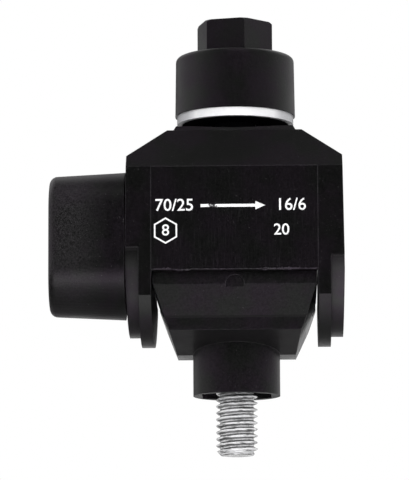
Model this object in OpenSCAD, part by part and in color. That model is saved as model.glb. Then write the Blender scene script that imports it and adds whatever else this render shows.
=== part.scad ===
// Insulation piercing connector: two moulded halves drawn together by a shear head bolt,
// an open groove for the main conductor behind the bolt and a closed one for the branch in front of it.
// Heights are taken from the main conductor's axis in the upper half, depths from the bolt axis.

/* [Main conductor] */
// Radius of the main conductor groove
main_r = 7.6; // [7:0.1:8.2]
// Distance of the main conductor behind the bolt axis
main_y = 15.5; // [15:0.1:16.5]
// Distance between the axes of the upper and lower main grooves, jaws as stored
main_drop = 5.8; // [5:0.1:6.5]

/* [Branch conductor] */
// Radius of the branch conductor groove
tap_r = 4.6; // [4:0.1:4.8]
// Distance of the branch conductor in front of the bolt axis
tap_y = 12.2; // [11.8:0.1:12.4]
// Height of the upper branch groove's axis above the main conductor's
tap_rise = 1.5; // [0.5:0.1:2]
// Distance between the axes of the upper and lower branch grooves, jaws as stored
tap_drop = 6.5; // [6.2:0.1:6.8]

/* [Upper body] */
// Width over the end plates
upper_w = 41.1; // [40:0.1:46]
// Width at the shoulders, narrower by the mould draft
shoulder_w = 40.5; // [38:0.1:41]
// Bolt axis to the front face
front_depth = 20.5; // [20:0.1:23]
// Bolt axis to the back lip
back_depth = 25; // [24.5:0.1:28]
// Height of the underside of the upper jaw
jaw_z = 2.5; // [2:0.1:3]
// Height of the back lip's lower edge
lip_z = 1; // [0:0.1:1.5]
// Height of the crease where the front wall turns back
crease_z = 10.5; // [9:0.1:12]
// Height of the shoulders on both ends
shoulder_z = 12.8; // [11:0.1:14]
// Height of the crease at the back
back_crease_z = 11; // [10:0.1:13]
// Height of the flat deck
deck_z = 18.5; // [18:0.1:22]
// Width of the deck
deck_w = 25.4; // [24:0.1:28]
// Bolt axis to the front edge of the deck
deck_front = 14; // [12:0.1:16]
// Bolt axis to the back edge of the deck
deck_back = 13.5; // [12:0.1:15]
// Thickness of the front wall
wall_t = 2.2; // [1.6:0.1:2.4]
// Height of the front wall's lower edge
wall_bottom_z = -9; // [-11:0.1:-6]
// Depth of the panel that carries the marking
panel_inset = 0.12; // [0.05:0.01:0.3]
// Diameter of the bolt hole in both halves
bolt_hole_d = 9; // [8.6:0.1:9.5]

/* [End plates] */
// Thickness of the outer end plate
plate_outer_t = 2.55; // [2:0.05:3]
// Thickness of the inner end plate
plate_inner_t = 2.4; // [2:0.05:3]
// Radius of the outer plate's round lower edge, centred on the bolt axis
plate_outer_r = 21.2; // [20.8:0.1:22]
// Height of the outer plate's lowest point
plate_outer_z = -19.2; // [-20.2:0.1:-18.6]
// Radius of the inner plate's round lower edge
plate_inner_r = 26.5; // [25:0.1:28]
// Bolt axis to the middle of the inner plate's round edge
plate_inner_y = -2; // [-3:0.1:-1]
// Height of the inner plate's lowest point
plate_inner_z = -21.3; // [-22.5:0.1:-20.6]
// Draft of the outer plates towards their lower edge
plate_draft = 0.2; // [0:0.05:0.4]
// Bolt axis to the back end of the plates' lower arms
plate_back = 17.6; // [16.5:0.1:18]
// Height of the lower edge of the main conductor's slot in the plates
main_slot_z = -11.4; // [-12:0.1:-11.2]
// Lower edge of the front wall's overhang over the left outer plate
overhang_left_z = -4.7; // [-8:0.1:0]
// Lower edge of the front wall's overhang over the right outer plate
overhang_right_z = -6.4; // [-10:0.1:0]
// Half of the branch slot's width
slot_r = 6; // [5.5:0.1:6.2]
// Height of the branch slot's middle
slot_z = -1.5; // [-1.8:0.1:-1]
// Straight height of the branch slot between its round ends
slot_straight = 8; // [7.6:0.1:8.4]

/* [Washer seat] */
// Width of the seat pad at its foot
pad_w = 23.6; // [22:0.1:25]
// Width of the seat pad at its top
pad_top_w = 22.2; // [20:0.1:22.6]
// Height of the seat pad
pad_h = 1.3; // [0.6:0.1:1.6]
// Radius where the dish meets the top of the seat pad
dish_r = 13.7; // [12:0.1:15]
// Depth of the dish at the bolt axis
dish_depth = 1.5; // [0.5:0.1:2]

/* [Lower body] */
// Running gap between the lower body and the front wall
front_gap = 0.3; // [0.2:0.05:0.6]
// Running gap between the lower body and each end plate
side_gap = 0.25; // [0.15:0.05:0.8]
// Height of the lower body's upper face, jaws as stored
ridge_z = -7; // [-7.6:0.1:-6.8]
// Height of the lower body's back lip
lower_lip_z = -9; // [-10:0.1:-8.5]
// Height where the front bevel and the tapered ends start
bevel_top_z = -11.4; // [-12.5:0.1:-11]
// Height of the front bevel's lower edge
step_top_z = -17.4; // [-18:0.1:-16]
// Height of the lower edge of the upright step under the bevel
step_bottom_z = -19.7; // [-20.5:0.1:-18.8]
// Bolt axis to the upright step
step_depth = 15.3; // [15:0.1:16.5]
// Height of the lower body's flat underside
lower_bottom_z = -22.7; // [-24:0.1:-22.2]
// Width of the lower body at its underside
lower_bottom_w = 22.7; // [20:0.1:25]
// Bolt axis to the back edge of the flat underside
heel_y = 8; // [6:0.1:9]
// Height of the lower edge of the back lip's outer face
lower_back_z = -15.5; // [-17:0.1:-14.5]
// Setback of the lower back lip behind the upper one
lower_back_setback = 0.5; // [0:0.1:0.8]
// Diameter of the boss
boss_d = 16.6; // [16.4:0.1:18]
// Height of the boss's lower rim
boss_z = -30.6; // [-33:0.1:-30]
// Depth of the nut pocket
pocket_depth = 9.5; // [8:0.1:10]
// Radius of the moulding gate's mark
gate_r = 1.75; // [1:0.05:2]
// Depth of the moulding gate's mark
gate_depth = 0.25; // [0.1:0.05:1]

/* [Bolt, nut and washer] */
// Outside diameter of the thread
bolt_d = 7.9; // [7:0.05:7.95]
// Length under the bolt head
bolt_len = 65.5; // [63:0.1:80]
// Chamfer at the bolt's end
bolt_chamfer = 0.9; // [0.5:0.1:1.5]
// Width across flats of the bolt head
head_af = 13; // [11:0.1:14]
// Height of the bolt head
head_h = 5.3; // [4:0.1:6]
// Width across flats of the nut
nut_af = 13; // [12:0.1:13.1]
// Height of the nut
nut_h = 6.5; // [5:0.1:7]
// Diameter of the thread in the nut
nut_bore_d = 8; // [7.95:0.01:8.1]
// Diameter of the washer
washer_d = 22.4; // [20:0.1:24]
// Thickness of the washer
washer_t = 1.65; // [1:0.05:2.5]
// Diameter of the washer's hole
washer_bore_d = 8.4; // [8.1:0.1:9]
// Height of the washer above the seat pad while the bolt is slack
washer_lift = 2.05; // [0.5:0.05:3]

/* [Shear cap] */
// Diameter of the skirt at the washer
cap_d = 23.1; // [20:0.1:26]
// Diameter of the skirt at its top
cap_top_d = 22.8; // [20:0.1:26]
// Height of the skirt
cap_h = 11.6; // [8:0.1:14]
// Rounding of the skirt's top edge
cap_edge_r = 1; // [0.5:0.1:2]
// Width across flats of the driving hexagon
hex_af = 13; // [10:0.1:14]
// Height of the driving hexagon with its neck
hex_h = 6.6; // [5:0.1:9]
// Chamfer of the hexagon's top corners
hex_chamfer = 0.4; // [0.2:0.1:1.5]
// Diameter of the neck that shears off
neck_d = 10.6; // [9:0.1:12]
// Height of the neck
neck_h = 0.6; // [0.3:0.1:1]
// Angle that the hexagon stands at in the stored position
hex_turn = -15; // [-30:1:30]

/* [End cap] */
// Length of the end cap outside the end plate
end_cap_len = 14.3; // [11:0.1:18]
// Half of the end cap's width at the end plate
end_cap_r = 8; // [7.6:0.1:8.2]
// Half of the end cap's width at its blind end
end_cap_tip_r = 7.35; // [7:0.05:7.6]
// Height of the end cap's middle
end_cap_z = -3.4; // [-4:0.1:-3]
// Straight height of the end cap between its round ends
end_cap_straight = 12; // [11:0.1:13]
// Rounding of the blind end
end_cap_edge_r = 1.5; // [1:0.1:3]
// Thickness of the blind end and of the flange at the end plate
end_cap_wall = 1.6; // [1.2:0.1:2]
// Half of the cavity's width
end_cap_bore_r = 5.9; // [5.2:0.1:6]
// Length of the spigot in the branch slot
spigot_len = 4; // [2.5:0.1:4.4]
// Wall of the spigot
spigot_wall = 1; // [0.8:0.1:1.2]

/* [Contact blades and seals] */
// Thickness of a contact blade
blade_t = 1.5; // [1:0.1:2]
// Distance of each blade from the middle
blade_x = 8.5; // [7.5:0.1:9.5]
// Depth of the teeth
tooth_depth = 2; // [1.5:0.1:2.2]
// Depth of the tooth tips below the groove's surface
tip_recess = 0.2; // [0.1:0.05:0.5]
// Angle above the jaw's face where each row of teeth starts
tooth_start = 52; // [48:1:60]
// Number of teeth at the main conductor
main_teeth = 5; // [3:1:7]
// Number of teeth at the branch conductor
tap_teeth = 3; // [2:1:5]
// Height of the blade's back above the tooth roots
blade_back = 2.6; // [2:0.1:3]
// Length of the seals along the conductors
seal_len = 25; // [20:0.5:28]
// Thickness of the main seals
main_seal_t = 1.6; // [1:0.1:2]
// Thickness of the branch seals
tap_seal_t = 1.3; // [1:0.1:1.4]
// Step between the jaw faces and the seals' edges
seal_step = 1; // [0.7:0.1:1.2]

/* [Clearances] */
// Gap round pieces that are seated in a pocket
seat_gap = 0.05; // [0.02:0.01:0.1]
// Gap round the nut in its pocket, across flats
pocket_gap = 0.2; // [0.1:0.05:0.3]
// Gap round the end cap's spigot
spigot_gap = 0.1; // [0.05:0.01:0.2]

/* [Hidden] */
$fn = 96;
// Overshoot of the cutting shapes
over = 1;
// Straight pieces in a quarter round
arc_steps = 6;

half_w = upper_w / 2;
inner_x = half_w - plate_outer_t - plate_inner_t;
front_y = -front_depth;
wall_inner_y = front_y + wall_t;
seat_z = deck_z + pad_h;
washer_z = seat_z + washer_lift;
head_z = washer_z + washer_t;

upper_main = [main_y, 0];
lower_main = [main_y, -main_drop];
upper_tap = [-tap_y, tap_rise];
lower_tap = [-tap_y, tap_rise - tap_drop];

lower_front_y = wall_inner_y + front_gap;
lower_back_y = back_depth - lower_back_setback;
lower_half_w = inner_x - side_gap;
nut_top_z = boss_z + pocket_depth;

main_root_r = main_r + tip_recess + tooth_depth;
tap_root_r = tap_r + tip_recess + tooth_depth;
upper_blade_z = max(upper_main[1] + main_root_r, upper_tap[1] + tap_root_r) + blade_back;
lower_blade_z = min(lower_main[1] - main_root_r, lower_tap[1] - tap_root_r) - blade_back / 2;
upper_seal_z = jaw_z + seal_step;
lower_seal_z = ridge_z - seal_step;
blade_step = 1.5 * seal_step;
blade_front_y = -tap_y - tap_root_r * cos(tooth_start) - tip_recess;
blade_back_y = main_y + main_root_r * cos(tooth_start) + tip_recess;

plastic = [0.09, 0.085, 0.095];
zinc = [0.8, 0.81, 0.83];
tinned = [0.72, 0.68, 0.6];
elastomer = [0.16, 0.16, 0.17];

// Extrusion along X of an outline drawn in depth and height
module yz(points, x0, x1) {
    translate([x0, 0, 0])
        rotate([90, 0, 90])
            linear_extrude(x1 - x0)
                polygon(points);
}

// Extrusion along Y of an outline drawn in width and height
module xz(points, y0, y1) {
    translate([0, y1, 0])
        rotate([90, 0, 0])
            linear_extrude(y1 - y0)
                polygon(points);
}

module block(low, high) {
    translate(low)
        cube(high - low);
}

// Round bar along X at a point given in depth and height
module bar(r, at, x0, x1) {
    translate([x0, at[0], at[1]])
        rotate([0, 90, 0])
            cylinder(r = r, h = x1 - x0);
}

// Upright bar along X with round ends, as the branch slot has, about a middle height
module slot_bar(r, z, straight, x0, x1) {
    for (end = [-1, 1])
        bar(r, [-tap_y, z + end * straight / 2], x0, x1);
    block([x0, -tap_y - r, z - straight / 2], [x1, -tap_y + r, z + straight / 2]);
}

module hexagon(af, h) {
    cylinder(d = af / cos(30), h = h, $fn = 6);
}

module both_ends() {
    children();
    mirror([1, 0, 0])
        children();
}

// Everything is drawn round the bolt axis and set down on the main conductor's axis
module place() {
    translate([0, -main_y, 0])
        children();
}

function on_circle(c, r, a) = c + r * [cos(a), sin(a)];
function quarter(c, r) = [for (i = [0:arc_steps]) on_circle(c, r, 90 * i / arc_steps)];

// Row of teeth round a groove from back to front, starting and ending at a root
function tooth_row(c, r, way, n) = [
    for (i = [0:2 * n])
        let (a = tooth_start + (180 - 2 * tooth_start) * i / (2 * n))
        on_circle(c, r + tip_recess + (i % 2 == 0 ? tooth_depth : 0), way * a)
];

function front_outline() = [
    [plate_draft - half_w, plate_inner_z - over], [-half_w, wall_bottom_z],
    [-shoulder_w / 2, shoulder_z], [-deck_w / 2, deck_z], [deck_w / 2, deck_z],
    [shoulder_w / 2, shoulder_z], [half_w, wall_bottom_z], [half_w - plate_draft, plate_inner_z - over]
];

function roof_outline() = [
    [front_y, jaw_z], [front_y, crease_z], [-deck_front, deck_z], [deck_back, deck_z],
    [back_depth, back_crease_z], [back_depth, lip_z], [main_y, lip_z], [main_y, jaw_z]
];

// End plate between two widths, hanging from the upper jaw, with a round lower edge
module end_plate(r, y, z, x0, x1) {
    intersection() {
        bar(r, [y, z + r], x0, x1);
        block([x0 - over, front_y, z - over], [x1 + over, plate_back, jaw_z + over]);
    }
}

module end_plates() {
    split_x = half_w - plate_outer_t;
    both_ends() {
        end_plate(plate_inner_r, plate_inner_y, plate_inner_z, inner_x, split_x);
        end_plate(plate_outer_r, 0, plate_outer_z, split_x, half_w);
    }
}

// Slot through both end plates for the main conductor, open to the back
module main_slot() {
    out_x = half_w + over;
    low = [main_y, main_slot_z + main_r];
    both_ends() {
        bar(main_r, low, inner_x, out_x);
        block([inner_x, main_y - main_r, low[1]], [out_x, main_y, upper_main[1]]);
        block([inner_x, main_y, main_slot_z], [out_x, plate_back + over, upper_main[1]]);
    }
}

// Strip of the front wall that stands over an outer plate
module overhang(x0, x1, z) {
    block([x0, front_y, z], [x1, wall_inner_y, crease_z]);
}

module seat_pad() {
    outline = [
        [-pad_w / 2, deck_z - over], [-pad_w / 2, deck_z], [-pad_top_w / 2, seat_z],
        [pad_top_w / 2, seat_z], [pad_w / 2, deck_z], [pad_w / 2, deck_z - over]
    ];
    intersection() {
        xz(outline, -pad_w, pad_w);
        yz(outline, -pad_w, pad_w);
    }
}

module seat_dish() {
    translate([0, 0, seat_z - dish_depth])
        cylinder(h = 2 * dish_depth, r1 = 0, r2 = 2 * dish_r);
}

// Slots for both blades, open towards the other jaw
module blade_slots(outline) {
    both_ends()
        yz(outline, blade_x - blade_t / 2 - seat_gap, blade_x + blade_t / 2 + seat_gap);
}

// Seal lining a groove, between its surface and a larger radius, above or below a level
module seal_blank(at, r, t, level, up, gap) {
    span = r + t + over;
    half = seal_len / 2 + gap;
    edge = level - up * gap;
    intersection() {
        bar(r + t + gap, at, -half, half);
        block(
            [-half - over, at[0] - span, up > 0 ? edge : at[1] - span],
            [half + over, at[0] + span, up > 0 ? at[1] + span : edge]
        );
    }
}

module upper_body() color(plastic) {
    difference() {
        union() {
            intersection() {
                xz(front_outline(), front_y, back_depth);
                union() {
                    yz(roof_outline(), -half_w, half_w);
                    block([-inner_x, front_y, wall_bottom_z], [inner_x, wall_inner_y, crease_z]);
                    end_plates();
                    overhang(-half_w, -half_w + plate_outer_t, overhang_left_z);
                    overhang(half_w - plate_outer_t, half_w, overhang_right_z);
                }
            }
            seat_pad();
        }
        seat_dish();
        cylinder(d = bolt_hole_d, h = seat_z + over);
        block(
            [-inner_x, front_y - over, wall_bottom_z - over],
            [inner_x, front_y + panel_inset, crease_z]
        );
        bar(main_r, upper_main, -half_w - over, half_w + over);
        bar(tap_r, upper_tap, -half_w - over, half_w + over);
        main_slot();
        both_ends()
            slot_bar(slot_r, slot_z, slot_straight, inner_x, half_w + over);
        seal_blank(upper_main, main_r, main_seal_t, upper_seal_z, 1, seat_gap);
        seal_blank(upper_tap, tap_r, tap_seal_t, upper_seal_z, 1, seat_gap);
        blade_slots(concat(upper_blade_back(seat_gap), blade_mouth(lip_z - over)));
    }
}

function lower_front_outline() = [
    [-lower_half_w, ridge_z], [lower_half_w, ridge_z], [lower_half_w, bevel_top_z],
    [lower_bottom_w / 2, lower_bottom_z], [-lower_bottom_w / 2, lower_bottom_z],
    [-lower_half_w, bevel_top_z]
];

function lower_side_outline() = [
    [lower_front_y, ridge_z], [lower_front_y, bevel_top_z], [-step_depth, step_top_z],
    [-step_depth, step_bottom_z], [0, lower_bottom_z], [heel_y, lower_bottom_z],
    [lower_back_y, lower_back_z], [lower_back_y, lower_lip_z], [main_y, lower_lip_z], [main_y, ridge_z]
];

module lower_body() color(plastic) {
    difference() {
        union() {
            intersection() {
                xz(lower_front_outline(), lower_front_y, lower_back_y);
                yz(lower_side_outline(), -lower_half_w, lower_half_w);
            }
            translate([0, 0, boss_z])
                cylinder(d = boss_d, h = ridge_z - boss_z - seal_step);
        }
        translate([0, 0, boss_z - over])
            cylinder(d = bolt_hole_d, h = ridge_z - boss_z + 2 * over);
        translate([0, 0, boss_z - over])
            rotate([0, 0, 30])
                hexagon(nut_af + pocket_gap, pocket_depth + over);
        bar(main_r, lower_main, -half_w, half_w);
        bar(tap_r, lower_tap, -half_w, half_w);
        seal_blank(lower_main, main_r, main_seal_t, lower_seal_z, -1, seat_gap);
        seal_blank(lower_tap, tap_r, tap_seal_t, lower_seal_z, -1, seat_gap);
        blade_slots(concat(lower_blade_back(seat_gap), blade_mouth(ridge_z + over)));
        translate([0, lower_front_y - over, bevel_top_z])
            rotate([-90, 0, 0])
                cylinder(r = gate_r, h = gate_depth + over);
    }
}

// Back edge of the upper blade, from front to back, moved outwards by a gap
function upper_blade_back(gap) = [
    [blade_front_y - gap, upper_tap[1] + tap_root_r],
    [upper_tap[0], upper_blade_z + gap],
    [upper_main[0] + blade_back, upper_blade_z + gap],
    [blade_back_y + gap, upper_main[1] + main_root_r]
];

// Back edge of the lower blade, from front to back, moved outwards by a gap
function lower_blade_back(gap) = [
    [blade_front_y - gap, lower_tap[1] - tap_root_r],
    [upper_tap[0] + blade_back, lower_blade_z - gap],
    [upper_main[0], lower_blade_z - gap],
    [blade_back_y + gap, lower_main[1] - main_root_r]
];

// Open side of a blade slot at a height, from back to front
function blade_mouth(z) = [[blade_back_y + seat_gap, z], [blade_front_y - seat_gap, z]];

// Working edge of a blade from the back to the front, with its teeth round both grooves.
// The way is 1 for the upper blade and -1 for the lower one
function blade_edge(main, tap, middle_z, way) = concat(
    [[blade_back_y, on_circle(main, main_root_r, way * tooth_start)[1]]],
    tooth_row(main, main_r, way, main_teeth),
    [
        [main_y - main_r - main_seal_t - seat_gap, middle_z],
        [tap_r + tap_seal_t + seat_gap - tap_y, middle_z]
    ],
    tooth_row(tap, tap_r, way, tap_teeth),
    [[blade_front_y, on_circle(tap, tap_root_r, way * tooth_start)[1]]]
);

function upper_blade_outline() =
    concat(upper_blade_back(0), blade_edge(upper_main, upper_tap, jaw_z + blade_step, 1));

function lower_blade_outline() =
    concat(lower_blade_back(0), blade_edge(lower_main, lower_tap, ridge_z - blade_step, -1));

module blade(outline, x) color(tinned) {
    yz(outline, x - blade_t / 2, x + blade_t / 2);
}

// One seal with a window for each row of teeth
module seal(at, r, t, level, up) color(elastomer) {
    reach = (r + tip_recess + tooth_depth) * cos(tooth_start) + seat_gap;
    window = [
        [at[0] - reach, at[1]], [at[0] + reach, at[1]],
        [at[0] + reach, at[1] + 2 * up * r], [at[0] - reach, at[1] + 2 * up * r]
    ];
    difference() {
        seal_blank(at, r, t, level, up, 0);
        bar(r, at, -half_w, half_w);
        blade_slots(window);
    }
}

module upper_main_seal() {
    seal(upper_main, main_r, main_seal_t, upper_seal_z, 1);
}

module upper_tap_seal() {
    seal(upper_tap, tap_r, tap_seal_t, upper_seal_z, 1);
}

module lower_main_seal() {
    seal(lower_main, main_r, main_seal_t, lower_seal_z, -1);
}

module lower_tap_seal() {
    seal(lower_tap, tap_r, tap_seal_t, lower_seal_z, -1);
}

module clamp_bolt() color(zinc) {
    translate([0, 0, head_z])
        rotate([0, 0, hex_turn])
            hexagon(head_af, head_h);
    translate([0, 0, head_z - bolt_len]) {
        cylinder(d1 = bolt_d - 2 * bolt_chamfer, d2 = bolt_d, h = bolt_chamfer);
        translate([0, 0, bolt_chamfer])
            cylinder(d = bolt_d, h = bolt_len - bolt_chamfer);
    }
}

module nut() color(zinc) {
    translate([0, 0, nut_top_z - nut_h])
        difference() {
            rotate([0, 0, 30])
                hexagon(nut_af, nut_h);
            translate([0, 0, -over])
                cylinder(d = nut_bore_d, h = nut_h + 2 * over);
        }
}

module washer() color(zinc) {
    translate([0, 0, washer_z])
        difference() {
            cylinder(d = washer_d, h = washer_t);
            translate([0, 0, -over])
                cylinder(d = washer_bore_d, h = washer_t + 2 * over);
        }
}

module shear_cap() color(plastic) {
    hex_r = hex_af / 2 / cos(30);
    skirt = concat(
        [[0, 0], [cap_d / 2, 0]],
        quarter([cap_top_d / 2 - cap_edge_r, cap_h - cap_edge_r], cap_edge_r),
        [[0, cap_h]]
    );
    crown = [
        [0, 0], [hex_r + over, 0], [hex_r + over, hex_h - hex_chamfer - over],
        [hex_r - hex_chamfer, hex_h], [0, hex_h]
    ];
    translate([0, 0, head_z])
        difference() {
            union() {
                rotate_extrude()
                    polygon(skirt);
                translate([0, 0, cap_h - over])
                    cylinder(d = neck_d, h = neck_h + 2 * over);
                rotate([0, 0, hex_turn])
                    intersection() {
                        translate([0, 0, cap_h + neck_h])
                            hexagon(hex_af, hex_h - neck_h);
                        translate([0, 0, cap_h])
                            rotate_extrude()
                                polygon(crown);
                    }
            }
            translate([0, 0, -over])
                rotate([0, 0, hex_turn])
                    hexagon(head_af + 2 * seat_gap, head_h + over + seat_gap);
        }
}

// Outside of the end cap: two round ends and the flat stretch between them, all with the same section
module end_cap_shell() {
    foot_x = half_w + seat_gap;
    side = concat(
        [[end_cap_r, 0]],
        quarter([end_cap_tip_r - end_cap_edge_r, end_cap_len - end_cap_edge_r], end_cap_edge_r)
    );
    half_section = concat([[0, 0]], side, [[0, end_cap_len]]);
    translate([-foot_x, -tap_y, end_cap_z])
        rotate([0, -90, 0]) {
            for (end = [-1, 1])
                translate([end * end_cap_straight / 2, 0, 0])
                    rotate_extrude()
                        polygon(half_section);
            translate([-end_cap_straight / 2, 0, 0])
                rotate([90, 0, 90])
                    linear_extrude(end_cap_straight)
                        for (way = [0, 1])
                            mirror([way, 0])
                                polygon(half_section);
        }
}

module end_cap() color(plastic) {
    foot_x = -half_w - seat_gap;
    tip_x = foot_x - end_cap_len;
    end_x = foot_x + spigot_len;
    spigot_r = slot_r - spigot_gap;
    difference() {
        union() {
            end_cap_shell();
            slot_bar(spigot_r, slot_z, slot_straight, foot_x - end_cap_wall / 2, end_x);
        }
        slot_bar(spigot_r - spigot_wall, slot_z, slot_straight, foot_x - 2 * end_cap_wall, end_x + over);
        slot_bar(end_cap_bore_r, end_cap_z, end_cap_straight, tip_x + end_cap_wall, foot_x - end_cap_wall);
    }
}

place() upper_body();
place() lower_body();
place() shear_cap();
place() clamp_bolt();
place() washer();
place() nut();
place() end_cap();
place() blade(upper_blade_outline(), -blade_x);  // upper_blade_left
place() blade(upper_blade_outline(), blade_x);  // upper_blade_right
place() blade(lower_blade_outline(), -blade_x);  // lower_blade_left
place() blade(lower_blade_outline(), blade_x);  // lower_blade_right
place() upper_main_seal();
place() upper_tap_seal();
place() lower_main_seal();
place() lower_tap_seal();
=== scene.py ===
"""Looks of an insulation piercing connector.

Near black mouldings, a zinc plated bolt and washer, and white marks on the front wall.
"""

import math
import random

import bmesh
import bpy
from mathutils import Matrix, Quaternion, Vector


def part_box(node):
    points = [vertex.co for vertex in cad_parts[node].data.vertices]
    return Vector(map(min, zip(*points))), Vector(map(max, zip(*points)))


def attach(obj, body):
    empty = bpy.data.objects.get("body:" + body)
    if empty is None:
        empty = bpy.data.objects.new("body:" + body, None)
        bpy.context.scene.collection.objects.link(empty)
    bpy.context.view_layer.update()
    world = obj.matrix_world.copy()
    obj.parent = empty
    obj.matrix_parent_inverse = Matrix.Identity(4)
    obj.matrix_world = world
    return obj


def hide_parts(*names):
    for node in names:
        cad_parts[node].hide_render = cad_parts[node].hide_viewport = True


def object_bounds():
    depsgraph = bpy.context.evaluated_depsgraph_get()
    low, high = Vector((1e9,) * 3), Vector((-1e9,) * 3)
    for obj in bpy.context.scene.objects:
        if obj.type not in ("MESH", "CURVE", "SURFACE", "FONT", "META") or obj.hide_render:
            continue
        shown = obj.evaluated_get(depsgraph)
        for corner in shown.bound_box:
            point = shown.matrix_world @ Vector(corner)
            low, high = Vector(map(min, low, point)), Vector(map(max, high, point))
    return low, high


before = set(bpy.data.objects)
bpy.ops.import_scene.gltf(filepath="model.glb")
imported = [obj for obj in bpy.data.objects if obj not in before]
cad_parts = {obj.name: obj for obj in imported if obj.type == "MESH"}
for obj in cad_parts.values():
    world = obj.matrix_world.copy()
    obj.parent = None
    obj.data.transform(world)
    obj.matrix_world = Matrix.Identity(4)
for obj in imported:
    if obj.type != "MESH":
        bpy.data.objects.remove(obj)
cad_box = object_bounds()

MM = 0.001

# Places taken from the frame
UPPER_LOW, UPPER_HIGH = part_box("upper_body")
BOLT_LOW, BOLT_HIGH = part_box("clamp_bolt")
WASHER_LOW, WASHER_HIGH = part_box("washer")
WASHER_R = (WASHER_HIGH.x - WASHER_LOW.x) / 2
BOLT_AXIS = Vector((
    (WASHER_LOW.x + WASHER_HIGH.x) / 2, (WASHER_LOW.y + WASHER_HIGH.y) / 2, 0.0
))
BOSS_LOW_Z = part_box("lower_body")[0].z
FRONT_Y = UPPER_LOW.y
CAP_FOOT_X = UPPER_LOW.x
SEAT_DISH = 1.5 * MM
SEAT_Z = UPPER_HIGH.z - SEAT_DISH

# Marked panel on the front wall
PANEL_INSET = 0.12 * MM
PANEL_HALF = 15.6 * MM
PANEL_LOW_Z = -9.0 * MM
PANEL_HIGH_Z = 10.5 * MM

# Outer end plates: distance from the middle, setback behind the wall, ledge above them
OUTER_PLATE_X = 18.2 * MM
OUTER_PLATE_SETBACK = 0.6 * MM
LEDGE_Z = 2.0 * MM

# Painted shade under the ledges, made by taking gloss away: heights where it is full and where it
# ends, share of gloss it leaves
LEDGE_SHADE_FULL_Z = -3.0 * MM
LEDGE_SHADE_END_Z = -8.5 * MM
LEDGE_SHADE_GLOSS = 0.1

# Gloss of the outer plates, rising from left to right
GLOSS_RAMP_X = 15.0 * MM
GLOSS_LEFT, GLOSS_RIGHT = 1.15, 1.5

# Lower body: downward faces under the step turn paler and matte, and the boss's lowest downward
# faces turn near black
STEP_Z = -17.0 * MM
MATTE_UNDERSIDE_COVER = 0.7
MATTE_UNDERSIDE_GLOSS = 0.3
BOSS_FOOT_HEIGHT = 1.0 * MM
BOSS_FOOT_GLOSS = 0.2

# End cap: where its paler bloom starts and is full, partly painted light that leaves the part near
# the body in painted shade, and the swell of its lower half
BLOOM_AND_LIGHT_START = 3.0 * MM
BLOOM_AND_LIGHT_FULL = 9.0 * MM
SWELL_Z = -6.4 * MM
SWELL_R = 6.5 * MM

# Bolt, with the turn of its head in degrees, and crest and flank as shares of the pitch
BOLT_R = 3.95 * MM
BOLT_CHAMFER = 0.9 * MM
HEAD_FLATS = 13.0 * MM
HEAD_TURN = -15.0
HEAD_Z = WASHER_HIGH.z
THREAD_PITCH = 1.25 * MM
THREAD_DEPTH = 0.74 * MM
THREAD_TOP_Z = -8.0 * MM
THREAD_RUN_OUT = 2 * THREAD_PITCH
THREAD_CREST_HALF = 0.07
THREAD_FLANK = 0.3
THREAD_SEGMENTS = 72
THREAD_ROWS_PER_PITCH = 14

# Bolt: radii of the worn crests and of the flanks under them, where painted shade falls, and a
# dark rim at the end
CREST_R = 3.85 * MM
FLANK_R = 3.6 * MM
CREST_METAL = 0.15
SPECKLE = 0.2
END_RIM_HIGH = 0.24
END_RIM_LOW = 0.04
END_RIM_COVER = 0.85
# Half height of the painted shade on the shank at the seat
SEAT_SHADE_FADE = 0.5 * MM

# Washer: painted shade on its underside, inside a bare rim
RIM_BARE = 0.6 * MM
RIM_SHADED_IN = 1.0 * MM
UNDERSIDE_METAL = 0.8

# Relief in the shaders: rounding of moulded edges, and depth of each surface's grain
EDGE_ROUNDING = 0.22 * MM
MOULDED_GRAIN = 0.08 * MM
PLATED_GRAIN = 0.03 * MM
ROLLED_GRAIN = 0.1 * MM
RUBBER_GRAIN = 0.06 * MM

# Marks: how far the ink stands proud, where the arrow is rubbed through, how the font is set
INK_PROUD = 0.02 * MM
INK_Y = FRONT_Y + PANEL_INSET - INK_PROUD
RUBBED_X = -4.1 * MM
RUBBED_FULL = 0.4
RUBBED_END = 1.1
RUBBED_SHARE = 0.24
FONT_CAP_HEIGHT = 0.7
FONT_WEIGHT = 0.011

# Flash along the wall's lower edge. Each row has a place along the edge, and how far the flash
# hangs down and laps up the wall there, in millimetres.
FLASH = [
    (-15.6, 0.05, 0.0), (-14.8, 0.0, 0.3), (-12.4, 0.0, 0.35), (-11.2, 0.05, 0.0),
    (-10.8, 0.3, 0.05), (-8.7, 0.25, 0.05), (-8.0, 0.0, 0.12), (-2.0, 0.06, 0.08),
    (0.5, 0.0, 0.1), (4.6, 0.05, 0.1), (5.4, 0.2, 0.22), (9.5, 0.16, 0.3),
    (11.8, 0.1, 0.3), (12.6, 0.05, 0.1), (15.6, 0.1, 0.14),
]
FLASH_SEED = 7
FLASH_STEP = 0.18
FLASH_RAGGED = (0.4, 1.3)
FLASH_MIN_DROP = 0.02
FLASH_MIN_LAP = 0.04
# Depths of the fin's four edges behind the panel: front top, front low, back low, back top
FLASH_DEPTHS = (-0.02 * MM, -0.06 * MM, 0.1 * MM, 0.14 * MM)

# Photograph's frame and the camera that fits it, with angles in degrees and distance in metres
IMAGE_W = 409
IMAGE_H = 480
FOCAL_PX = 3618.0
SENSOR_MM = 36.0
CLIP_NEAR, CLIP_FAR = 0.01, 20.0
VIEW_AZIMUTH = 1.25
VIEW_ELEVATION = -8.65
VIEW_ROLL = -0.27
VIEW_DISTANCE = 0.695
AIM_PX = (235.85, 234.6)
AIM_Z = 0.6 * MM

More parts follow.
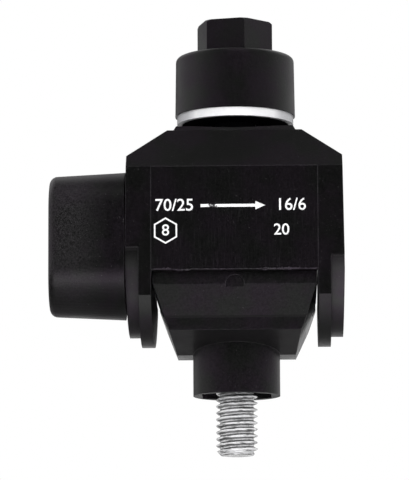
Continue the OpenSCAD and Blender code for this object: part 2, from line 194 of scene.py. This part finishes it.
# World: direction components where each part starts and is full, and its brightness
TENT_LIGHT = 0.015
SKIRTING_TOP = (-0.1, -0.3)
SKIRTING_FOOT = (-0.5, -0.36)
SKIRTING_BACK = (-0.85, -0.5)
SKIRTING_ASIDE = (0.15, 0.45)
SKIRTING_LIGHT = (0.1, 0.9)
CANOPY_RISE = (0.3, 0.6)
CANOPY_BACK = (0.15, 0.5)
CANOPY_LIGHT = 0.7
SOFT_BOX_RISE = (0.4, 0.9)
SOFT_BOX_LIGHT = (0.03, 1.1)

# Cards of the tent: direction, cosines where the card starts and is full, brightness
CARDS = [
    ((0.1, -0.31, -0.95), 0.72, 0.975, 1.75),
    ((-1.0, 0.4, 0.45), 0.6, 0.95, 0.6),
    ((0.85, 0.6, 0.4), 0.6, 0.95, 0.64),
    ((-0.88, -0.47, 0.15), 0.7, 0.985, 0.34),
    ((0.88, -0.47, 0.15), 0.7, 0.985, 0.28),
    ((0.0, 1.0, 0.0), 0.93, 0.995, 1.1),
    ((0.3, 0.8, -0.5), 0.7, 0.95, 0.16),
]

# Floor: how far it lies below the object, its side, what it adds for the camera
FLOOR_DROP = 0.09
FLOOR_Z = cad_box[0].z - FLOOR_DROP
FLOOR_SIZE = 3.0
FLOOR_GLOW = 0.32


def rgb(red, green, blue):
    return (red, green, blue, 1.0)


# Colours
WHITE = rgb(1.0, 1.0, 1.0)
VIOLET_SHEEN = rgb(1.05, 0.87, 1.08)
SPECK = rgb(0.14, 0.135, 0.14)
WORN_EDGE = rgb(0.1, 0.095, 0.105)
SCRATCH = rgb(0.2, 0.19, 0.21)
# Paler matte tone of the lower body's downward faces under the step
MATTE_UNDERSIDE_TONE = rgb(0.014, 0.0135, 0.014)
# Near black of the boss's lowest downward faces
BOSS_FOOT_TONE = rgb(0.001, 0.001, 0.001)
# Paler chalky tone of the end cap's tip, partly painted light
BLOOM_AND_LIGHT = rgb(0.021, 0.0195, 0.021)
# Painted shade in the gap under the washer: on its underside and on the bolt's shank
PAINTED_SHADE_DARK = rgb(0.008, 0.008, 0.009)
ROLLED_DARK = rgb(0.3, 0.3, 0.3)
# Painted shade on the bolt's flanks, and the dark rim at its end
FLANK_SHADE_AND_RIM = rgb(0.02, 0.02, 0.02)
# Painted shade at both ends of the washer
END_SHADE_ZINC = rgb(0.62, 0.62, 0.64)
INK_THIN = rgb(0.55, 0.54, 0.56)
INK_FULL = rgb(0.92, 0.92, 0.93)
INK_RUBBED = rgb(0.03, 0.028, 0.03)
RUBBER_DARK = rgb(0.018, 0.018, 0.019)
RUBBER_DUSTY = rgb(0.045, 0.045, 0.047)
PAPER_DARK = rgb(0.78, 0.78, 0.78)
PAPER_PALE = rgb(0.84, 0.84, 0.84)


# Node helpers

class Nodes:
    """Short way to build a node tree. Most calls add a node and return the output that is used."""

    def __init__(self, tree):
        self.tree = tree
        tree.nodes.clear()

    def put(self, socket, value):
        if isinstance(value, bpy.types.NodeSocket):
            self.tree.links.new(value, socket)
        else:
            socket.default_value = value

    def add(self, kind, inputs=None, **settings):
        made = self.tree.nodes.new(kind)
        for key, value in settings.items():
            setattr(made, key, value)
        for key, value in (inputs or {}).items():
            self.put(made.inputs[key], value)
        return made

    def math(self, operation, a, b=0.0):
        return self.add("ShaderNodeMath", {0: a, 1: b}, operation=operation).outputs[0]

    def product(self, first, *others):
        for other in others:
            first = self.math("MULTIPLY", first, other)
        return first

    def ramp(self, value, low, high, to_low=0.0, to_high=1.0, kind="LINEAR"):
        inputs = {
            "Value": value, "From Min": low, "From Max": high, "To Min": to_low, "To Max": to_high,
        }
        return self.add("ShaderNodeMapRange", inputs, interpolation_type=kind).outputs["Result"]

    def mix(self, factor, a, b):
        made = self.add("ShaderNodeMix", {"Factor": factor}, data_type="RGBA")
        self.put(made.inputs[6], a)
        self.put(made.inputs[7], b)
        return made.outputs[2]

    def noise(self, where, scale, detail=2.0, roughness=0.5):
        inputs = {"Vector": where, "Scale": scale, "Detail": detail, "Roughness": roughness}
        return self.add("ShaderNodeTexNoise", inputs).outputs["Fac"]

    def dot(self, a, b):
        made = self.add("ShaderNodeVectorMath", {0: a, 1: b}, operation="DOT_PRODUCT")
        return made.outputs["Value"]

    def split(self, vector):
        outputs = self.add("ShaderNodeSeparateXYZ", {"Vector": vector}).outputs
        return outputs["X"], outputs["Y"], outputs["Z"]

    def facing(self):
        return self.add("ShaderNodeNewGeometry").outputs["Normal"]

    def bump(self, height, distance, strength=1.0, normal=None, invert=False):
        inputs = {"Height": height, "Distance": distance, "Strength": strength}
        if normal is not None:
            inputs["Normal"] = normal
        return self.add("ShaderNodeBump", inputs, invert=invert).outputs["Normal"]

    def surface(self, inputs):
        """Principled shader, led to the material's output."""
        shader = self.add("ShaderNodeBsdfPrincipled", inputs)
        self.add("ShaderNodeOutputMaterial", {"Surface": shader.outputs["BSDF"]})


def new_material(name):
    material = bpy.data.materials.new(name)
    material.use_nodes = True
    return material, Nodes(material.node_tree)


def millimetres(nodes, stretch=(1.0, 1.0, 1.0)):
    """Object coordinates in millimetres, stretched along an axis where the grain runs that way."""
    place = nodes.add("ShaderNodeTexCoord").outputs["Object"]
    scale = tuple(1.0 / MM / s for s in stretch)
    return nodes.add("ShaderNodeMapping", {"Vector": place, "Scale": scale}).outputs["Vector"]


# Materials. The shaders measure in millimetres, so lengths are divided by MM there.

def plastic(
    name, tone, rough=0.42, gloss=0.35, mottle=0.8, specks=0.5, wear=0.25, detail=None
):
    """Moulded plastic: cloudy tone, mottled grain, dust specks and paler upright edges.

    detail adds what only one moulding has.
    """
    material, nodes = new_material(name)
    where = millimetres(nodes)
    clouds = nodes.noise(where, scale=0.16, detail=3.0)
    grain = nodes.noise(where, scale=2.4, detail=4.0, roughness=0.75)
    dust = nodes.noise(where, scale=3.6, detail=2.0, roughness=0.7)
    grey = rgb(0.9 * tone, 0.94 * tone, 0.9 * tone)
    violet = rgb(1.15 * tone, 0.95 * tone, 1.2 * tone)
    cloudy = nodes.ramp(clouds, 0.4, 0.6)
    tint = nodes.mix(cloudy, grey, violet)
    shade = nodes.ramp(grain, 0.36, 0.64, 1.0 - mottle, 1.0 + 1.4 * mottle)
    tint = nodes.add(
        "ShaderNodeVectorMath", {0: tint, "Scale": shade}, operation="SCALE"
    ).outputs["Vector"]
    tint = nodes.mix(nodes.product(nodes.ramp(dust, 0.7, 0.76), specks), tint, SPECK)
    normal = nodes.add("ShaderNodeBevel", {"Radius": EDGE_ROUNDING}, samples=6).outputs["Normal"]
    along = nodes.dot(normal, nodes.facing())
    lean = nodes.math("ABSOLUTE", nodes.split(normal)[2])
    upright = nodes.ramp(lean, 0.1, 0.4, wear, 0.25 * wear)
    edge = nodes.product(nodes.ramp(along, 0.995, 0.93), nodes.ramp(grain, 0.3, 0.7))
    tint = nodes.mix(nodes.product(edge, upright), tint, WORN_EDGE)
    layers = {"tint": tint, "normal": normal, "height": grain, "gloss": gloss}
    if detail:
        detail(nodes, where, layers)
    nodes.surface({
        "Base Color": layers["tint"],
        "Normal": nodes.bump(layers["height"], MOULDED_GRAIN, 0.35, layers["normal"]),
        "IOR": 1.5,
        "Specular IOR Level": layers["gloss"],
        "Roughness": nodes.ramp(clouds, 0.3, 0.7, rough - 0.05, rough + 0.06),
        "Specular Tint": nodes.mix(cloudy, WHITE, VIOLET_SHEEN),
    })
    return material


def upper_detail(nodes, where, layers):
    """Upright tool streaks on the marked panel, painted shade under the outer end plates' ledges
    made by taking gloss away, and the plates' gloss rising from left to right.
    """
    x, y, z = nodes.split(where)
    off_middle = nodes.math("ABSOLUTE", x)
    line = nodes.noise(
        millimetres(nodes, (1.0, 1.0, 40.0)), scale=7.5, detail=3.0, roughness=0.7
    )
    in_front = nodes.math("LESS_THAN", y, (FRONT_Y + 2 * PANEL_INSET) / MM)
    on_panel_width = nodes.math("LESS_THAN", off_middle, PANEL_HALF / MM)
    lower = nodes.ramp(z, PANEL_HIGH_Z / MM, PANEL_LOW_Z / MM, 0.3, 1.0)
    scratch = nodes.product(nodes.ramp(line, 0.56, 0.72), on_panel_width, in_front, lower)
    layers["tint"] = nodes.mix(nodes.product(scratch, 0.05), layers["tint"], SCRATCH)
    layers["height"] = nodes.math("ADD", layers["height"], scratch)
    under_ledge = nodes.math("LESS_THAN", z, LEDGE_Z / MM)
    set_back = nodes.math("GREATER_THAN", y, (FRONT_Y + OUTER_PLATE_SETBACK) / MM)
    outside = nodes.math("GREATER_THAN", off_middle, OUTER_PLATE_X / MM)
    on_plate = nodes.product(under_ledge, set_back, outside)
    # Painted shade: the outer plates' gloss fades below the ledges, and it rises from left to
    # right.
    unshaded = nodes.ramp(z, LEDGE_SHADE_FULL_Z / MM, LEDGE_SHADE_END_Z / MM, LEDGE_SHADE_GLOSS, 1.0)
    gloss_ramp = nodes.ramp(x, -GLOSS_RAMP_X / MM, GLOSS_RAMP_X / MM, GLOSS_LEFT, GLOSS_RIGHT)
    change = nodes.math("SUBTRACT", nodes.product(unshaded, gloss_ramp), 1.0)
    share = nodes.math("ADD", nodes.product(change, on_plate), 1.0)
    layers["gloss"] = nodes.product(share, layers["gloss"])


def lower_detail(nodes, where, layers):
    """Downward faces under the step turn paler and matte, and the boss's lowest downward faces
    round the nut's pocket turn near black and less glossy.
    """
    z = nodes.split(where)[2]
    lean = nodes.split(nodes.facing())[2]
    under_step = nodes.math("LESS_THAN", z, STEP_Z / MM)
    matte_underside = nodes.product(nodes.ramp(lean, -0.1, -0.3), under_step)
    layers["tint"] = nodes.mix(nodes.product(matte_underside, MATTE_UNDERSIDE_COVER), layers["tint"], MATTE_UNDERSIDE_TONE)
    at_pocket = nodes.math("LESS_THAN", z, (BOSS_LOW_Z + BOSS_FOOT_HEIGHT) / MM)
    boss_foot = nodes.product(nodes.ramp(lean, -0.7, -0.95), at_pocket)
    layers["tint"] = nodes.mix(boss_foot, layers["tint"], BOSS_FOOT_TONE)
    dull = nodes.ramp(matte_underside, 0.0, 1.0, layers["gloss"], MATTE_UNDERSIDE_GLOSS * layers["gloss"])
    layers["gloss"] = nodes.product(dull, nodes.ramp(boss_foot, 0.0, 1.0, 1.0, BOSS_FOOT_GLOSS))


def end_cap_detail(nodes, where, layers):
    """Paler chalky bloom towards the tip, partly painted light that leaves the part near the body
    in painted shade, and a swollen lower half.
    """
    x, _, z = nodes.split(where)
    toward_tip = nodes.ramp(
        x, (CAP_FOOT_X - BLOOM_AND_LIGHT_START) / MM, (CAP_FOOT_X - BLOOM_AND_LIGHT_FULL) / MM
    )
    chalk = nodes.noise(where, scale=3.0, detail=4.0, roughness=0.8)
    # Paler towards the tip: chalky bloom, and painted light that leaves the part near the body in
    # painted shade.
    bloom = nodes.product(toward_tip, nodes.ramp(chalk, 0.36, 0.64))
    layers["tint"] = nodes.mix(bloom, layers["tint"], BLOOM_AND_LIGHT)
    below = nodes.math("MAXIMUM", nodes.math("SUBTRACT", SWELL_Z / MM, z), 0.0)
    swell = nodes.math("DIVIDE", nodes.math("POWER", below, 2.0), 2 * SWELL_R / MM)
    layers["normal"] = nodes.bump(swell, MM, normal=layers["normal"], invert=True)


def zinc(name, low, high, rough, metal, detail=None):
    """Zinc plate: mottled tone and roughness. detail adds what only one piece has."""
    material, nodes = new_material(name)
    where = millimetres(nodes)
    mottle = nodes.ramp(nodes.noise(where, scale=1.4, detail=4.0, roughness=0.6), 0.3, 0.7)
    inputs = {
        "Base Color": nodes.mix(mottle, rgb(low, low, 1.02 * low), rgb(high, high, 1.01 * high)),
        "Metallic": metal,
        "Roughness": nodes.ramp(mottle, 0.0, 1.0, rough + 0.1, rough - 0.06),
        "Normal": nodes.bump(nodes.noise(where, scale=9.0), PLATED_GRAIN, 0.25),
    }
    if detail:
        detail(nodes, where, inputs)
    nodes.surface(inputs)
    return material


def paint_shade(nodes, inputs, shaded):
    """Paint shade on a plated surface: dark and without gloss where the given share is 1."""
    inputs["Base Color"] = nodes.mix(shaded, inputs["Base Color"], PAINTED_SHADE_DARK)
    bare = nodes.math("SUBTRACT", 1.0, shaded)
    inputs["Metallic"] = nodes.product(bare, inputs["Metallic"])
    inputs["Specular IOR Level"] = nodes.product(bare, 0.5)


def bolt_radius(nodes, where):
    """Distance from the bolt's axis in millimetres."""
    x, y, _ = nodes.split(where)
    across = nodes.math("POWER", nodes.math("SUBTRACT", x, BOLT_AXIS.x / MM), 2.0)
    deep = nodes.math("POWER", nodes.math("SUBTRACT", y, BOLT_AXIS.y / MM), 2.0)
    return nodes.math("SQRT", nodes.math("ADD", across, deep))


def bolt_detail(nodes, where, inputs):
    """Rolled streaks round the thread, painted shade on the flanks, worn crests, a dark rim at the
    end and painted shade on the shank at the seat.
    """
    z = nodes.split(where)[2]
    radius = bolt_radius(nodes, where)
    rolled = nodes.noise(
        millimetres(nodes, (9.0, 9.0, 1.0)), scale=5.0, detail=2.0, roughness=0.6
    )
    streaked = nodes.ramp(rolled, 0.36, 0.5)
    inputs["Base Color"] = nodes.mix(streaked, ROLLED_DARK, inputs["Base Color"])
    speckle = nodes.ramp(rolled, 0.3, 0.7, -SPECKLE, SPECKLE)
    ragged_radius = nodes.math("ADD", radius, speckle)
    below_crest = nodes.ramp(ragged_radius, CREST_R / MM, FLANK_R / MM)
    lean = nodes.split(nodes.facing())[2]
    flank = nodes.math(
        "MAXIMUM", nodes.ramp(lean, 0.1, 0.5), nodes.ramp(lean, -0.3, -0.7, 0.0, 0.6)
    )
    threaded = nodes.math("GREATER_THAN", z, (BOLT_LOW.z + BOLT_CHAMFER) / MM)
    above_end = nodes.math("ADD", nodes.math("SUBTRACT", z, BOLT_LOW.z / MM), speckle)
    rim = nodes.ramp(above_end, END_RIM_HIGH, END_RIM_LOW, 0.0, END_RIM_COVER)
    # Painted shade on the flanks under the crests, and a dark rim at the end
    shade_and_rim = nodes.math("MAXIMUM", nodes.product(flank, below_crest, threaded), rim)
    inputs["Base Color"] = nodes.mix(shade_and_rim, inputs["Base Color"], FLANK_SHADE_AND_RIM)
    inputs["Metallic"] = nodes.ramp(
        radius, FLANK_R / MM, CREST_R / MM, inputs["Metallic"], CREST_METAL
    )
    fine = nodes.product(nodes.noise(where, scale=9.0), 0.3)
    inputs["Normal"] = nodes.bump(nodes.math("ADD", rolled, fine), ROLLED_GRAIN, 0.5)
    # Painted shade on the shank where it passes the seat
    at_seat = nodes.ramp(z, (SEAT_Z - SEAT_SHADE_FADE) / MM, (SEAT_Z + SEAT_SHADE_FADE) / MM)
    paint_shade(nodes, inputs, at_seat)


def washer_detail(nodes, where, inputs):
    """Painted shade at both ends, and painted shade on the underside inside a bare rim."""
    across, _, up = nodes.split(nodes.facing())
    # Painted shade: the zinc turns duller towards both ends.
    dull = nodes.ramp(nodes.math("ABSOLUTE", across), 0.66, 0.8)
    inputs["Base Color"] = nodes.mix(dull, inputs["Base Color"], END_SHADE_ZINC)
    # Painted shade on the underside inside the rim
    underside = nodes.ramp(up, -0.5, -0.9)
    inputs["Metallic"] = nodes.ramp(underside, 0.0, 1.0, inputs["Metallic"], UNDERSIDE_METAL)
    inside_rim = nodes.ramp(
        bolt_radius(nodes, where), (WASHER_R - RIM_BARE) / MM, (WASHER_R - RIM_SHADED_IN) / MM
    )
    paint_shade(nodes, inputs, nodes.product(underside, inside_rim))


def ink(name):
    """White printing ink, a little thin and uneven, rubbed through at one place."""
    material, nodes = new_material(name)
    where = millimetres(nodes)
    cover = nodes.noise(where, scale=6.0, detail=3.0, roughness=0.7)
    tint = nodes.mix(nodes.ramp(cover, 0.3, 0.5), INK_THIN, INK_FULL)
    off_rub = nodes.math(
        "ABSOLUTE", nodes.math("SUBTRACT", nodes.split(where)[0], RUBBED_X / MM)
    )
    rubbed = nodes.ramp(off_rub, RUBBED_FULL, RUBBED_END, RUBBED_SHARE, 0.0)
    flaky = nodes.noise(where, scale=2.2, detail=4.0, roughness=0.75)
    worn = nodes.math("ADD", flaky, rubbed)
    nodes.surface({
        "Base Color": nodes.mix(nodes.ramp(worn, 0.64, 0.7), tint, INK_RUBBED),
        "Roughness": nodes.ramp(cover, 0.3, 0.7, 0.5, 0.65),
    })
    return material


def rubber(name):
    """Dull seal rubber with a dusty bloom."""
    material, nodes = new_material(name)
    where = millimetres(nodes)
    bloom = nodes.noise(where, scale=0.8, detail=4.0, roughness=0.6)
    nodes.surface({
        "Base Color": nodes.mix(nodes.ramp(bloom, 0.35, 0.7), RUBBER_DARK, RUBBER_DUSTY),
        "Roughness": 0.75,
        "Normal": nodes.bump(nodes.noise(where, scale=4.0), RUBBER_GRAIN, 0.3),
    })
    return material


body_plastic = plastic("body_plastic", 0.0018, wear=0.4, detail=upper_detail)
lower_plastic = plastic(
    "lower_plastic", 0.0062, rough=0.34, gloss=0.24, mottle=0.5, wear=0.6, detail=lower_detail
)
cap_plastic = plastic("cap_plastic", 0.0036, rough=0.4, mottle=0.4, specks=0.15, wear=0.15)
end_plastic = plastic("end_cap_plastic", 0.0022, specks=0.9, wear=0.15, detail=end_cap_detail)
# The flash fin is real; its tone, far paler than the wall's, is a painted highlight along the
# edge.
flash_plastic = plastic("flash_plastic", 0.02, rough=0.5)
zinc_bolt = zinc("zinc_bolt", 0.94, 0.99, rough=0.2, metal=0.5, detail=bolt_detail)
zinc_washer = zinc("zinc_washer", 0.92, 0.97, rough=0.42, metal=0.1, detail=washer_detail)
zinc_nut = zinc("zinc_nut", 0.5, 0.75, rough=0.36, metal=0.8)
tinned = zinc("tinned_copper", 0.55, 0.72, rough=0.38, metal=0.9)
seal_rubber = rubber("seal_rubber")
white_ink = ink("white_ink")

NODE_MATERIALS = {
    "upper_body": body_plastic, "lower_body": lower_plastic, "shear_cap": cap_plastic,
    "end_cap": end_plastic, "washer": zinc_washer, "nut": zinc_nut,
    "upper_blade_left": tinned, "upper_blade_right": tinned,
    "lower_blade_left": tinned, "lower_blade_right": tinned,
    "upper_main_seal": seal_rubber, "upper_tap_seal": seal_rubber,
    "lower_main_seal": seal_rubber, "lower_tap_seal": seal_rubber,
}


def dress(mesh, material):
    mesh.materials.clear()
    mesh.materials.append(material)


for node_name, node_material in NODE_MATERIALS.items():
    dress(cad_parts[node_name].data, node_material)


# Pieces

def add_piece(name, mesh, material, body):
    piece = bpy.data.objects.new(name, mesh)
    bpy.context.scene.collection.objects.link(piece)
    dress(mesh, material)
    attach(piece, body)
    return piece


def filled_mesh(name, shape):
    """Mesh made from a bmesh, which is freed."""
    mesh = bpy.data.meshes.new(name)
    shape.to_mesh(mesh)
    shape.free()
    return mesh


def unit_share(value):
    return min(1.0, max(0.0, value))


def thread_radius(z, angle):
    """Radius of the bolt: a rounded thread that runs out at its top, chamfered at its end."""
    phase = ((z - BOLT_LOW.z) / THREAD_PITCH - angle / math.tau) % 1.0
    off_crest = abs((phase + 0.5) % 1.0 - 0.5)
    flank = unit_share((off_crest - THREAD_CREST_HALF) / THREAD_FLANK)
    # Half way between a straight flank and a rounded one
    flank = flank * flank * (3 - 2 * flank) * 0.5 + flank * 0.5
    run_out = unit_share((THREAD_TOP_Z - z) / THREAD_RUN_OUT)
    chamfered = BOLT_R - BOLT_CHAMFER + (z - BOLT_LOW.z)
    return min(BOLT_R - THREAD_DEPTH * flank * run_out, chamfered)


def threaded_bolt():
    """Bolt with its real helical thread, plain shank and hexagon head."""
    shape = bmesh.new()

    def corner(r, angle, z):
        return shape.verts.new((
            BOLT_AXIS.x + r * math.cos(angle), BOLT_AXIS.y + r * math.sin(angle), z
        ))

    def join(low, high):
        for i in range(len(low)):
            j = (i + 1) % len(low)
            shape.faces.new((low[i], low[j], high[j], high[i]))

    step = THREAD_PITCH / THREAD_ROWS_PER_PITCH
    rows = int((THREAD_TOP_Z - BOLT_LOW.z) / step) + 1
    angles = [math.tau * i / THREAD_SEGMENTS for i in range(THREAD_SEGMENTS)]
    rings = []
    for z in [BOLT_LOW.z + step * i for i in range(rows)]:
        rings.append([corner(thread_radius(z, angle), angle, z) for angle in angles])
    rings.append([corner(BOLT_R, angle, HEAD_Z) for angle in angles])
    for low, high in zip(rings, rings[1:]):
        join(low, high)
    shape.faces.new(list(reversed(rings[0])))
    head_r = HEAD_FLATS / 2 / math.cos(math.radians(30))
    turns = [math.radians(HEAD_TURN + 60 * i) for i in range(6)]
    foot, top = [[corner(head_r, angle, z) for angle in turns] for z in (HEAD_Z, BOLT_HIGH.z)]
    join(foot, top)
    shape.faces.new(top)
    seams = (set(rings[-1]), set(foot))
    bmesh.ops.bridge_loops(
        shape, edges=[e for e in shape.edges if any(set(e.verts) <= seam for seam in seams)]
    )
    bmesh.ops.recalc_face_normals(shape, faces=shape.faces)
    for face in shape.faces:
        face.smooth = len(face.verts) == 4 and face.calc_center_median().z < HEAD_Z - step
    return filled_mesh("clamp_bolt_threaded", shape)


bolt = add_piece("clamp_bolt_threaded", threaded_bolt(), zinc_bolt, "bolt")
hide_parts("clamp_bolt")


# Marks on the panel, placed in millimetres

def on_panel(x, z):
    return Vector((x * MM, INK_Y, z * MM))


def text_mesh(name, words, height, at):
    """Plain number set upright on the panel, centred on a point."""
    curve = bpy.data.curves.new(name, "FONT")
    curve.body = words
    curve.size = height * MM / FONT_CAP_HEIGHT
    curve.align_x = "CENTER"
    curve.align_y = "CENTER"
    curve.offset = FONT_WEIGHT * height * MM
    curve.resolution_u = 4
    holder = bpy.data.objects.new(name, curve)
    bpy.context.scene.collection.objects.link(holder)
    bpy.context.view_layer.update()
    evaluated = holder.evaluated_get(bpy.context.evaluated_depsgraph_get())
    mesh = bpy.data.meshes.new_from_object(evaluated)
    bpy.data.objects.remove(holder)
    upright = Matrix.Rotation(math.radians(90), 4, "X")
    mesh.transform(Matrix.Translation(on_panel(*at)) @ upright)
    return mesh


def flat_mesh(name, loops):
    """Flat faces on the panel from outlines."""
    shape = bmesh.new()
    for loop in loops:
        shape.faces.new([shape.verts.new(on_panel(x, z)) for x, z in loop])
    return filled_mesh(name, shape)


def arrow_loops(x0, x1, z, shaft, head_len, head_half):
    neck, half = x1 - head_len, shaft / 2
    bar = [(x0, z - half), (neck, z - half), (neck, z + half), (x0, z + half)]
    point = [(neck, z - head_half), (x1, z), (neck, z + head_half)]
    return [bar, point]


def hexagon_loops(x, z, r, line):
    corners = [math.radians(90 + 60 * i) for i in range(7)]
    outer, inner = [
        [(x + size * math.cos(a), z + size * math.sin(a)) for a in corners]
        for size in (r, r - line)
    ]
    return [[outer[i], outer[i + 1], inner[i + 1], inner[i]] for i in range(6)]


UPPER_ROW_Z, UPPER_TEXT = 3.05, 2.25
LOWER_ROW_Z, LOWER_TEXT = -1.67, 2.1
HEXAGON_X = -12.85
ARROW_TAIL_X, ARROW_TIP_X, ARROW_Z = -6.3, 5.75, 3.0
ARROW = arrow_loops(
    ARROW_TAIL_X, ARROW_TIP_X, ARROW_Z, shaft=0.55, head_len=1.8, head_half=0.8
)

MARKS = [
    text_mesh("mark_range_left", "70/25", UPPER_TEXT, (-11.2, UPPER_ROW_Z)),
    text_mesh("mark_range_right", "16/6", UPPER_TEXT, (10.6, UPPER_ROW_Z)),
    text_mesh("mark_size", "8", LOWER_TEXT, (HEXAGON_X, LOWER_ROW_Z)),
    text_mesh("mark_torque", "20", LOWER_TEXT, (8.8, LOWER_ROW_Z)),
    flat_mesh("mark_arrow", ARROW),
    flat_mesh("mark_hexagon", hexagon_loops(HEXAGON_X, LOWER_ROW_Z, r=2.5, line=0.34)),
]
for mark in MARKS:
    add_piece(mark.name, mark, white_ink, "upper")


def flash_mesh():
    """Thin ragged fin of plastic left along the front wall's lower edge."""
    rng = random.Random(FLASH_SEED)
    shape = bmesh.new()
    columns = []
    for (x0, drop0, lap0), (x1, drop1, lap1) in zip(FLASH, FLASH[1:]):
        steps = max(2, round((x1 - x0) / FLASH_STEP))
        for i in range(steps):
            share = i / steps
            ragged = rng.uniform(*FLASH_RAGGED)
            x = (x0 + (x1 - x0) * share) * MM
            drop = FLASH_MIN_DROP + (drop0 + (drop1 - drop0) * share) * ragged
            lap = FLASH_MIN_LAP + (lap0 + (lap1 - lap0) * share) * ragged
            low, top = PANEL_LOW_Z - drop * MM, PANEL_LOW_Z + lap * MM
            columns.append([
                shape.verts.new((x, FRONT_Y + PANEL_INSET + depth, z))
                for depth, z in zip(FLASH_DEPTHS, (top, low, low, top))
            ])
    for a, b in zip(columns, columns[1:]):
        for i in range(4):
            j = (i + 1) % 4
            shape.faces.new((a[i], a[j], b[j], b[i]))
    shape.faces.new(columns[0])
    shape.faces.new(list(reversed(columns[-1])))
    bmesh.ops.recalc_face_normals(shape, faces=shape.faces)
    return filled_mesh("flash_lower_edge", shape)


add_piece("flash_lower_edge", flash_mesh(), flash_plastic, "upper")


# Camera

def make_camera():
    azimuth, elevation = math.radians(VIEW_AZIMUTH), math.radians(VIEW_ELEVATION)
    back = Vector((
        math.sin(azimuth) * math.cos(elevation),
        -math.cos(azimuth) * math.cos(elevation),
        math.sin(elevation),
    ))
    roll = Quaternion((0, 0, 1), math.radians(VIEW_ROLL))
    turn = (-back).to_track_quat("-Z", "Y") @ roll
    right, up = turn @ Vector((1, 0, 0)), turn @ Vector((0, 1, 0))
    pixel = VIEW_DISTANCE / FOCAL_PX
    aim = Vector((BOLT_AXIS.x, BOLT_AXIS.y, AIM_Z))
    shift = right * (IMAGE_W / 2 - AIM_PX[0]) + up * (AIM_PX[1] - IMAGE_H / 2)
    data = bpy.data.cameras.new("camera")
    data.sensor_fit = "AUTO"
    data.sensor_width = SENSOR_MM
    data.lens = FOCAL_PX * SENSOR_MM / IMAGE_H
    data.clip_start, data.clip_end = CLIP_NEAR, CLIP_FAR
    camera = bpy.data.objects.new("camera", data)
    camera.rotation_mode = "QUATERNION"
    camera.rotation_quaternion = turn
    camera.location = aim + shift * pixel + back * VIEW_DISTANCE
    bpy.context.scene.collection.objects.link(camera)
    bpy.context.scene.camera = camera


make_camera()


# Light

def area_light(name, place, size, watts, glossy=True):
    """Rectangular lamp that faces the bolt."""
    data = bpy.data.lights.new(name, "AREA")
    data.shape = "RECTANGLE"
    data.size, data.size_y = size
    data.energy = watts
    lamp = bpy.data.objects.new(name, data)
    lamp.location = place
    lamp.rotation_mode = "QUATERNION"
    lamp.rotation_quaternion = (BOLT_AXIS - Vector(place)).to_track_quat("-Z", "Y")
    lamp.visible_glossy = glossy
    bpy.context.scene.collection.objects.link(lamp)


area_light("key_top_front", (0.12, -0.5, 0.85), size=(0.6, 0.5), watts=0.8)
area_light("fill_front", (0.05, -0.8, 0.25), size=(0.5, 0.5), watts=5.4, glossy=False)


def studio_world():
    """White to the camera.

    Reflections see a dim tent with a pale skirting, a canopy behind and separate cards.
    Diffuse rays see a soft box overhead.
    """
    world = bpy.data.worlds.new("studio")
    world.use_nodes = True
    bpy.context.scene.world = world
    nodes = Nodes(world.node_tree)
    path = nodes.add("ShaderNodeLightPath").outputs
    direction = nodes.add("ShaderNodeTexCoord").outputs["Generated"]
    x, y, z = nodes.split(direction)

    def fade(value, span, low=0.0, high=1.0):
        return nodes.ramp(value, *span, low, high, kind="SMOOTHSTEP")

    aside = fade(nodes.math("ABSOLUTE", x), SKIRTING_ASIDE, *SKIRTING_LIGHT)
    skirting = nodes.product(
        fade(z, SKIRTING_TOP), fade(z, SKIRTING_FOOT), fade(y, SKIRTING_BACK), aside
    )
    canopy = nodes.product(fade(z, CANOPY_RISE, 0.0, CANOPY_LIGHT), fade(y, CANOPY_BACK))
    tent = nodes.math("ADD", nodes.math("ADD", skirting, canopy), TENT_LIGHT)
    for axis, start, full, brightness in CARDS:
        near = nodes.dot(direction, Vector(axis).normalized())
        tent = nodes.math("ADD", tent, fade(near, (start, full), 0.0, brightness))
    mirrored = nodes.math("MAXIMUM", path["Is Glossy Ray"], path["Is Transmission Ray"])
    soft_box = fade(z, SOFT_BOX_RISE, *SOFT_BOX_LIGHT)
    unmirrored = nodes.product(nodes.math("SUBTRACT", 1.0, mirrored), soft_box)
    light = nodes.math("ADD", nodes.product(mirrored, tent), unmirrored)
    strength = nodes.math("MAXIMUM", light, path["Is Camera Ray"])
    background = nodes.add("ShaderNodeBackground", {"Color": WHITE, "Strength": strength})
    nodes.add("ShaderNodeOutputWorld", {"Surface": background.outputs["Background"]})


studio_world()


def make_floor():
    """Paper, near white to the camera, and one sided, so that views from below see past it."""
    material, nodes = new_material("floor_paper")
    where = nodes.add("ShaderNodeTexCoord").outputs["Object"]
    fibre = nodes.noise(where, scale=300.0, detail=3.0)
    to_camera = nodes.add("ShaderNodeLightPath").outputs["Is Camera Ray"]
    paper = nodes.add("ShaderNodeBsdfPrincipled", {
        "Base Color": nodes.mix(fibre, PAPER_DARK, PAPER_PALE),
        "Roughness": 0.9,
        "Emission Color": WHITE,
        "Emission Strength": nodes.product(to_camera, FLOOR_GLOW),
    })
    clear = nodes.add("ShaderNodeBsdfTransparent")
    from_below = nodes.add("ShaderNodeNewGeometry").outputs["Backfacing"]
    sided = nodes.add("ShaderNodeMixShader", {
        0: from_below, 1: paper.outputs["BSDF"], 2: clear.outputs["BSDF"],
    })
    nodes.add("ShaderNodeOutputMaterial", {"Surface": sided.outputs["Shader"]})
    half = FLOOR_SIZE / 2
    square = ((-half, -half), (half, -half), (half, half), (-half, half))
    corners = [(x, y, FLOOR_Z) for x, y in square]
    mesh = bpy.data.meshes.new("floor")
    mesh.from_pydata(corners, [], [(0, 1, 2, 3)])
    mesh.materials.append(material)
    floor = bpy.data.objects.new("floor", mesh)
    bpy.context.scene.collection.objects.link(floor)
    floor.visible_glossy = False


make_floor()
bpy.context.scene.view_settings.view_transform = "Standard"
